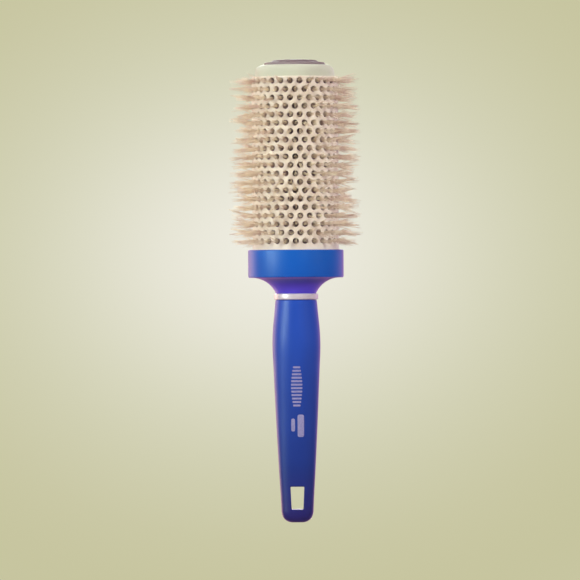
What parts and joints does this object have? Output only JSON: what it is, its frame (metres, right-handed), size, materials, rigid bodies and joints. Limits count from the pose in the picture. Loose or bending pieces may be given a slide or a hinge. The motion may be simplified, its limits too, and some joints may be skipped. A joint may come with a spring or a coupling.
{
  "type": "vented round hair brush",
  "caption": "Vented round blow-dry hair brush: perforated metal barrel with bristles through its holes, domed end cap, flared collar, trim ring and tapered handle with a hanging slot.",
  "frame": {"origin": "on the brush axis where the grip of the handle is widest", "axes": "+Z along the brush axis towards the bristle head; -Y is the front of the handle; X runs across the handle's width"},
  "size_m": [0.0674, 0.0674, 0.2363],
  "materials": {
    "handle_blue": "smooth cobalt-blue moulding, satin gloss",
    "collar_blue": "smooth cobalt-blue moulding, satin gloss",
    "ring_silver": "pale satin metallic trim",
    "barrel_coating": "ivory ceramic coating on aluminium, satin",
    "cap_ivory": "ivory moulding, satin",
    "dome_purple": "dark mauve moulding, glossy",
    "bristle_nylon": "tan nylon filaments",
    "wire_steel": "drawn wire",
    "steel_zinc": "zinc-plated steel"
  },
  "bodies": {
    "root": {"handle_body": "handle_blue", "ferrule_ring": "ring_silver", "collar": "collar_blue", "barrel": "barrel_coating", "end_cap": "cap_ivory", "tip_dome": "dome_purple", "cap_washer": "steel_zinc", "wire_end_sleeve": "steel_zinc", "stem_sleeve": "steel_zinc", "core_wire_a": "wire_steel", "core_wire_b": "wire_steel", "bristle_row_01": "bristle_nylon", "bristle_row_02": "bristle_nylon", "bristle_row_03": "bristle_nylon", "bristle_row_04": "bristle_nylon", "bristle_row_05": "bristle_nylon", "bristle_row_06": "bristle_nylon", "bristle_row_07": "bristle_nylon", "bristle_row_08": "bristle_nylon", "bristle_row_09": "bristle_nylon", "bristle_row_10": "bristle_nylon", "bristle_row_11": "bristle_nylon", "bristle_row_12": "bristle_nylon", "bristle_row_13": "bristle_nylon", "bristle_row_14": "bristle_nylon", "bristle_row_15": "bristle_nylon", "bristle_row_16": "bristle_nylon", "bristle_row_17": "bristle_nylon", "bristle_row_18": "bristle_nylon", "bristle_row_19": "bristle_nylon", "bristle_row_20": "bristle_nylon"}
  },
  "joints": []
}
